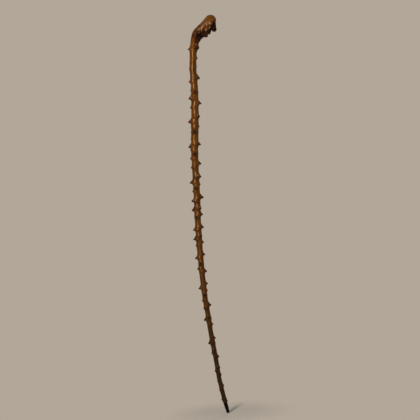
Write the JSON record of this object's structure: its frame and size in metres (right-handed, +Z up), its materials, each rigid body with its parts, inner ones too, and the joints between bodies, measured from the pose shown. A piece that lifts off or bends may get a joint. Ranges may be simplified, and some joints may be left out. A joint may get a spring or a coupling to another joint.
{
  "type": "walking stick",
  "caption": "Rustic one-piece thorn-wood walking stick with a root-knob handle, cut-back thorn stubs, a gentle bow and a slim metal ferrule.",
  "frame": {"origin": "middle of the worn flat under the ferrule's tip", "axes": "+Z up the stick, +X towards the nose of the handle, so the bow of the shank lies towards -X; -Y is the side with the round knot under the handle"},
  "size_m": [0.088, 0.0316, 0.92],
  "materials": {
    "varnished_wood": "glossy varnish over bark-brown thorn wood, dark stub ends",
    "blackened_metal": "matt black",
    "worn_iron": "dark, worn",
    "pin_metal": "dull, tarnished"
  },
  "bodies": {
    "root": {"thorn_stick": "varnished_wood", "ferrule_sleeve": "blackened_metal", "ferrule_tip": "worn_iron", "ferrule_pin": "pin_metal"}
  },
  "joints": []
}
